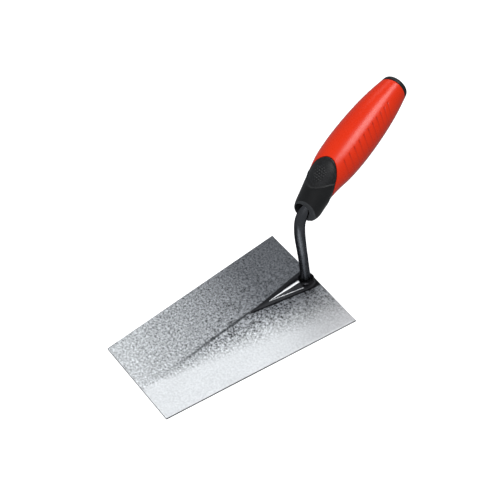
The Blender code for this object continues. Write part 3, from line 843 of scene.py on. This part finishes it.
# Grooves: where each one starts, in millimetres from the butt, and their common shape
GROOVE_STARTS = (16.0, 20.7, 25.5, 30.5, 35.8, 41.4, 47.2, 53.2, 59.5, 66.0, 72.8)
GROOVE_FROM = math.radians(44.0)    # the grooves start this far round from the top
GROOVE_TO = math.radians(112.0)
GROOVE_RUN_IN = math.radians(4.5)
GROOVE_RUN_OUT = math.radians(24.0)
GROOVE_SLANT = 10.2                 # millimetres along the handle for each radian round it
GROOVE_WIDTH = 0.85                 # half width in millimetres
GROOVE_DEPTH = 0.50 * MM
GROOVE_FADE = math.radians(14.0)    # they get shallower at this rate,
GROOVE_LEFT = 0.30                  # to this share of their depth


def groove_depth(distance):
    """How deep the slanted side grooves are, from 0 to 1, on both sides of the handle."""
    side = np.abs(wrapped(PHI))
    past = side - GROOVE_FROM
    along = distance / MM - GROOVE_SLANT * past
    depth = np.zeros_like(distance)
    for start in GROOVE_STARTS:
        offset = np.abs(along - start) / GROOVE_WIDTH
        depth = np.maximum(depth, np.clip(1.0 - offset**2, 0.0, 1.0))
    begin = smooth(0.0, GROOVE_RUN_IN, past)
    end = 1.0 - smooth(GROOVE_TO - GROOVE_RUN_OUT, GROOVE_TO, side)
    fall = GROOVE_LEFT + (1.0 - GROOVE_LEFT) * np.exp(-np.maximum(past, 0.0) / GROOVE_FADE)
    return depth * begin * end * fall


def make_grip(material):
    """The red shell, with rounded seams at both ends and slanted grooves on its sides."""
    rear = cap_edge(CAP_JOINT, JOINT_LEAN)
    front = sleeve_edge()
    rings, marks = [], []

    def add(distance, inset, mark=0.0):
        rings.append(on_handle(distance, barrel_radius(distance) - inset))
        marks.append(np.zeros_like(PHI) + mark)

    for along, inset in SEAM:
        add(rear + along * MM, inset * MM)
    low, high = rear + SEAM[-1][0] * MM, front - SEAM[-1][0] * MM
    for n in range(1, GRIP_ROWS):
        distance = low + (high - low) * n / GRIP_ROWS
        groove = groove_depth(distance)
        # the last value marks where shade is painted in the grooves
        add(distance, groove * GROOVE_DEPTH, groove**1.6)
    for along, inset in reversed(SEAM):
        add(front - along * MM, inset * MM)
    for n in range(25):
        add(front + (rear - front) * n / 24, SKIN)
    grooves = {"groove": np.concatenate(marks)}
    make_piece("red_grip", "grip_shell", rings, True, material, grooves)


def turned(matrix, distance, angle):
    """A matrix carried round the spine at a distance, from the thumb's side towards the right."""
    point, along, up = (Vector(v) for v in spine(np.array(distance)))
    rows = Matrix((Vector((1.0, 0.0, 0.0)), up, along)).transposed().to_4x4()
    at = Matrix.Translation(point) @ rows
    return at @ Matrix.Rotation(-angle, 4, "Z") @ at.inverted() @ matrix


def mouth_plane():
    """A point on the mouth's cut and its normal, which faces out."""
    start = Matrix.Translation((0.0, MOUTH_Y + HEEL_Y, MOUTH_Z)) @ Matrix.Rotation(math.pi / 2, 4, "X")
    at = turned(start, MOUTH_DISTANCE, MOUTH_TURN)
    return np.array(at.translation), np.array(at.to_3x3() @ Vector((0.0, 0.0, 1.0)))


SWELL = 1.2 * MM                    # how much fuller the nose is,
SWELL_RUN = 7.0 * MM                # how soon past the seam,
SWELL_ENDS = (126.0 * MM, 137.0 * MM)  # where it fades again,
SWELL_ANGLE = math.radians(125.0)   # and where round it
PAD_DEPTH = 0.32 * MM               # the pad lies this much below the barrel
RIDGE_HEIGHT = 0.42 * MM            # of the line along its lower border
RIDGE_WIDTH = 0.50                  # in millimetres, as are the next ones
STEP_AT = 106.3                     # the thumb pad's lower border: place at the top, in millimetres,
STEP_SWEEP = 20.5                   # how far it sweeps back towards the sides,
STEP_TURN = math.radians(2.0)       # and where its lowest point is
DOT_HEIGHT = 0.50 * MM              # the pad's round field of raised dots
DOT_PLACE = 93.5
DOT_ANGLE = math.radians(11.0)
DOT_ARM = 15.0                      # the handle's radius there
DOT_PITCH = 2.3
DOT_ROW = DOT_PITCH * 0.866         # rows of a triangular pattern
DOT_TOP, DOT_FOOT = 0.40, 0.85      # radii of a dot
DOT_FIELD = 6.4


def pad_relief(distance):
    """Height of the thumb pad's features, and a mask of the pad's grain."""
    step = STEP_AT - STEP_SWEEP * (1.0 - np.cos(PHI - STEP_TURN))
    beyond = distance / MM - step
    front_side = np.cos(PHI - HANDLE_TURN) > 0.0
    pad = (1.0 - smooth(-0.9, 0.1, beyond)) * front_side
    ridge = np.exp(-((beyond - 0.3) / RIDGE_WIDTH) ** 2) * front_side
    across = wrapped(PHI - DOT_ANGLE) * DOT_ARM
    along = distance / MM - DOT_PLACE
    field = 1.0 - smooth(DOT_FIELD - 1.0, DOT_FIELD, np.hypot(across, along))
    row = np.round(along / DOT_ROW)
    shift = np.where(np.abs(row) % 2 == 1, 0.5 * DOT_PITCH, 0.0)
    column = np.round((across - shift) / DOT_PITCH)
    off = np.hypot(across - shift - column * DOT_PITCH, along - row * DOT_ROW)
    dots = (1.0 - smooth(DOT_TOP, DOT_FOOT, off)) * field
    return DOT_HEIGHT * dots + RIDGE_HEIGHT * ridge - PAD_DEPTH * pad, pad


def swollen(distance, rear):
    """Radius of the nose, which is a little fuller below and to the right of the grip's end."""
    along = (distance - rear) / SWELL_RUN
    rise = smooth(0.0, 1.0, along) * (1.0 - smooth(*SWELL_ENDS, distance))
    side = np.clip(np.cos(PHI - SWELL_ANGLE), 0.0, 1.0)
    return barrel_radius(distance) + SWELL * rise * side


def rim_of_mouth(point, normal, rear):
    """For each angle: distance where the nose's surface reaches the mouth's cut."""
    last = BARREL[-1][0]
    dome = last + NOSE_DOME * np.linspace(0.02, 0.999, 40)
    steps = np.concatenate([np.linspace(RIM_FROM, last, 260), dome])
    stations = [np.full(SIDES, step * MM) for step in steps]
    surface = np.array([on_handle(distance, swollen(distance, rear)) for distance in stations])
    reach = (surface - point) @ normal
    past = reach[1:] >= 0.0
    after = past.argmax(0) + 1
    low, high = reach[after - 1, np.arange(SIDES)], reach[after, np.arange(SIDES)]
    crossing = steps[after - 1] - (steps[after] - steps[after - 1]) * low / (high - low)
    return np.where(past.any(0), crossing, steps[-1]) * MM


def shank_axis():
    """Points of the shank's axis near the mouth, with the radius at each."""
    places = [shank_at(row) for row in np.linspace(*MOUTH_ROWS, 120)]
    return np.array([place for place, _ in places]), np.array([size for _, size in places])


def clearance(points, axis, sizes):
    """Distance of points from the shank's surface."""
    away = np.linalg.norm(points[:, None, :] - axis[None, :, :], axis=2) - sizes
    return away.min(1)


def off_shank(points, axis, sizes):
    """Points moved out where they would touch the shank."""
    away = np.linalg.norm(points[:, None, :] - axis[None, :, :], axis=2)
    nearest = (away - sizes).argmin(1)
    out = points - axis[nearest]
    length = np.linalg.norm(out, axis=1)
    wanted = np.maximum(length, sizes[nearest] + GAP)
    return axis[nearest] + out * (wanted / length)[:, None]


def upward_in(normal):
    """The direction in a plane that is nearest to straight up."""
    up = np.array((0.0, 0.0, 1.0))
    up = up - normal * (up @ normal)
    return up / np.linalg.norm(up)


def lip_of_mouth(point, normal, edge, axis, sizes):
    """From each point of the rim: the way to the shank, the lip's width and how much it is above."""
    before = np.argmax((axis - point) @ normal < 0.0)
    centre = axis[before] - normal * ((axis[before] - point) @ normal)
    inwards = centre - edge
    inwards -= np.outer(inwards @ normal, normal)
    width = np.linalg.norm(inwards, axis=1)
    inwards /= width[:, None]
    above = np.clip(-inwards @ upward_in(normal), 0.0, 1.0)
    reach = np.zeros(SIDES)
    for step in np.linspace(2.0, 16.0, 141) * MM:
        free = clearance(centre - inwards * step, axis, sizes)
        reach = np.where((reach == 0.0) & (free > MOUTH_SLACK), step, reach)
    hole = reach + HOLLOW * above**1.5
    thin = np.clip(inwards[:, 0] * 1.3 + 0.1, 0.0, 1.0)
    lip = (np.maximum(width - hole, LIP_WIDTH) - LIP_WIDTH) * (1.0 - thin) + LIP_WIDTH
    return inwards, lip[:, None], above[:, None]


def tunnel_rings(mouth, inwards, above, axis, sizes):
    """Rings from the mouth's inner edge to where its tunnel has closed on the shank."""
    end_place, end_radius = shank_at(TUNNEL_ROW)
    ahead = shank_at(TUNNEL_ROW + 0.2)[0] - end_place
    ahead /= np.linalg.norm(ahead)
    spokes = -inwards - np.outer(-inwards @ ahead, ahead)
    spokes /= np.linalg.norm(spokes, axis=1, keepdims=True)
    throat = end_place + spokes * (end_radius + GAP)
    rings = []
    for share in np.linspace(0.0, 1.0, TUNNEL_ROWS):
        bow = math.sin(math.pi * share) * HOLLOW * 0.5
        line = mouth + (throat - mouth) * share
        rings.append(off_shank(line - inwards * bow * above, axis, sizes))
    return rings


def make_sleeve(material):
    """The black nose: collar, thumb pad with its border, and the mouth round the shank."""
    point, normal = mouth_plane()
    rear = sleeve_edge() + GAP
    rim = rim_of_mouth(point, normal, rear)
    rings, pads, rim_lights = [], [], []

    def add(ring, pad=0.0, rim_light=0.0):
        rings.append(ring)
        pads.append(np.zeros_like(PHI) + pad)
        rim_lights.append(np.zeros_like(PHI) + rim_light)

    for along, inset in SEAM:
        distance = rear + along * MM
        relief, pad = pad_relief(distance)
        add(on_handle(distance, swollen(distance, rear) - inset * MM + relief * 0.5), pad)
    low, high = rear + SEAM[-1][0] * MM, rim - LIP_OUTER[-1][0] * MM
    for n in range(1, SLEEVE_ROWS):
        distance = low + (high - low) * n / SLEEVE_ROWS
        relief, pad = pad_relief(distance)
        relief *= smooth(0.0, SEAM_BLEND, n)
        add(on_handle(distance, swollen(distance, rear) + relief), pad)
    edge = on_handle(rim, swollen(rim, rear))
    axis, sizes = shank_axis()
    inwards, lip, above = lip_of_mouth(point, normal, edge, axis, sizes)
    for along, back, mark in LIP_OUTER:
        add(edge + inwards * along * MM - normal * back * MM, 0.0, mark)
    for short, back in LIP_INNER:
        # the lip's inner rings get the full painted light
        add(edge + inwards * (lip - short * MM) - normal * back * MM, 0.0, 1.0)
    for ring in tunnel_rings(edge + inwards * lip - normal * LIP_DEPTH, inwards, above, axis, sizes):
        add(ring)
    bore = np.maximum(rear + BORE_LEAST, BORE_END)
    for share in np.linspace(0.0, 1.0, 14):
        distance = bore + (rear - bore) * share
        add(on_handle(distance, barrel_radius(distance) - SKIN))
    marks = {"pad": np.concatenate(pads), "rim": np.concatenate(rim_lights)}
    make_piece("black_sleeve", "front_sleeve", rings, True, material, marks)


def make_cap(material):
    """The end cap: a leaning button with a rounded rim and a faintly domed face, on its spigot."""
    joint = CAP_JOINT - GAP
    tip = CAP_JOINT + SPIGOT_LENGTH
    rings = [spine(np.array([tip]))[0]]
    for radius, back in SPIGOT_TIP:
        distance = np.full(SIDES, tip - back * MM)
        rings.append(on_handle(distance, np.full(SIDES, radius * MM)))
    edge = cap_edge(joint, JOINT_LEAN)
    for share in np.linspace(0.0, 1.0, 8):
        radius = SPIGOT_RADIUS + (barrel_radius(edge) - SEAM[0][1] * MM - SPIGOT_RADIUS) * share
        rings.append(on_handle(leaning(joint, JOINT_LEAN, radius), radius))
    for along, inset in SEAM[1:]:
        distance = edge - along * MM
        rings.append(on_handle(distance, barrel_radius(distance) - inset * MM))
    end = cap_edge(CAP_END, END_LEAN)
    corner = barrel_radius(end)
    side_from, side_to = edge - SEAM[-1][0] * MM, end + CAP_ROUNDING
    for n in range(1, 10):
        distance = side_from + (side_to - side_from) * n / 10
        rings.append(on_handle(distance, barrel_radius(distance)))
    face = corner - CAP_ROUNDING
    face_at = leaning(CAP_END, END_LEAN, face)
    for t in np.linspace(0.0, 1.0, 13):
        side, bend, front = (1.0 - t) ** 2, 2.0 * t * (1.0 - t), t * t
        distance = side * side_to + bend * end + front * face_at
        radius = side * barrel_radius(side_to) + bend * corner + front * face
        rings.append(on_handle(distance, radius))
    for share in np.linspace(0.94, 0.06, 16):
        radius = face * share
        bulge = CAP_DOME * (1.0 - share**2)
        distance = leaning(CAP_END, END_LEAN, radius) - bulge
        rings.append(on_handle(distance, radius))
    rings.append(spine(np.array([CAP_END - CAP_DOME]))[0])
    make_piece("butt_cap", "end_cap", rings, False, material)


# ---- studio


FLOOR_SIZE = 30.0                   # half of its side
FLOOR_DROP = 0.02 * MM              # keeps it clear of the plate's underside
OVERHEAD_PLACE = (-0.717, 0.221, 1.3)  # from the heel edge; this panel is what the blade mirrors
OVERHEAD_TURN = math.radians(45.0)
OVERHEAD_SIZE = (1.4, 0.95)
OVERHEAD_RADIANCE = 1.62
KEY_PLACE = (0.54, -0.40, 1.02)     # the panel that gives the handle its long highlight
KEY_AIM = (0.01, 0.10, 0.16)
KEY_LENGTHWAYS = (0.21, -0.40, -0.36)  # its longer side runs this way, along the handle
KEY_SIZE = (0.58, 0.86)
KEY_RADIANCE = 8.4
SKY_TINT = (0.93, 0.96, 1.0, 1.0)
SKY_STRENGTH = 0.34
LENS = 117.08                       # in millimetres, on a sensor 36 mm wide
SENSOR_WIDTH = 36.0
CAMERA_PLACE = (739.6, -489.16, 1068.26)  # from the heel edge's middle on the plate's top
CAMERA_RIGHT = (0.5736, 0.8158, -0.0740)
CAMERA_UP = (-0.5929, 0.4758, 0.6497)


def make_floor():
    """The pale floor. It takes light, but it doesn't light the tool from below or show in its gloss."""
    mesh = bpy.data.meshes.new("studio_floor")
    corners = [(FLOOR_SIZE * x, FLOOR_SIZE * y, 0.0) for x, y in ((-1, -1), (1, -1), (1, 1), (-1, 1))]
    mesh.from_pydata(corners, [], [(0, 1, 2, 3)])
    mesh.materials.append(floor_paint())
    floor = bpy.data.objects.new("studio_floor", mesh)
    floor.location.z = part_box("blade")[0].z - FLOOR_DROP
    bpy.context.scene.collection.objects.link(floor)
    floor.visible_glossy = False
    floor.visible_diffuse = False


def area_light(name, place, turn, size, radiance):
    """A rectangular lamp that is evenly bright, turned from facing straight down."""
    data = bpy.data.lights.new(name, "AREA")
    data.shape = "RECTANGLE"
    data.size, data.size_y = size
    data.energy = radiance * math.pi * size[0] * size[1]
    lamp = bpy.data.objects.new(name, data)
    lamp.location = place
    lamp.rotation_euler = turn
    bpy.context.scene.collection.objects.link(lamp)


def make_lights():
    """A panel over the blade's left, a key panel at the right front, and a faint cool sky."""
    x, y, z = OVERHEAD_PLACE
    turn = (0.0, 0.0, OVERHEAD_TURN)
    area_light("overhead", (x, y + HEEL_Y, z), turn, OVERHEAD_SIZE, OVERHEAD_RADIANCE)
    inward = (Vector(KEY_PLACE) - Vector(KEY_AIM)).normalized()
    length = (Vector(KEY_LENGTHWAYS) - inward * inward.dot(Vector(KEY_LENGTHWAYS))).normalized()
    rows = Matrix((length.cross(inward), length, inward)).transposed()
    area_light("key", KEY_PLACE, rows.to_euler(), KEY_SIZE, KEY_RADIANCE)
    world = bpy.data.worlds.new("studio")
    world.use_nodes = True
    back = world.node_tree.nodes["Background"]
    back.inputs["Color"].default_value = SKY_TINT
    back.inputs["Strength"].default_value = SKY_STRENGTH
    bpy.context.scene.world = world


def make_camera():
    """A long lens above the tool's right front, at the angle that the blade's corners give."""
    data = bpy.data.cameras.new("camera")
    data.lens = LENS
    data.sensor_width = SENSOR_WIDTH
    data.clip_end = 100.0
    camera = bpy.data.objects.new("camera", data)
    right, up = Vector(CAMERA_RIGHT), Vector(CAMERA_UP)
    rows = Matrix((right, up, right.cross(up))).transposed().to_4x4()
    place = Vector(CAMERA_PLACE) * MM + Vector((0.0, HEEL_Y, EDGE_THICKNESS))
    camera.matrix_world = Matrix.Translation(place) @ rows
    bpy.context.scene.collection.objects.link(camera)
    bpy.context.scene.camera = camera


def main():
    """Make the seven pieces, paint the hidden core, and set up the studio."""
    forged, weld, rod = (black_steel_paint(name, *look) for name, look in BLACK_STEELS.items())
    make_blade(steel_paint())
    make_foot(forged, highlight_steel_paint())
    make_weld(weld)
    make_shank(rod)
    make_grip(red_paint())
    make_sleeve(sleeve_paint())
    make_cap(plastic_paint("cap_black", (0.010, 0.0105, 0.0115), 0.36, 1500.0, 0.00008))
    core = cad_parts["handle_core"]
    core.data.materials.clear()
    core.data.materials.append(plastic_paint("core_plastic", (0.12, 0.12, 0.13), 0.5, 900.0, 0.0001))
    make_floor()
    make_lights()
    make_camera()
    bpy.context.scene.view_settings.view_transform = "Standard"


main()
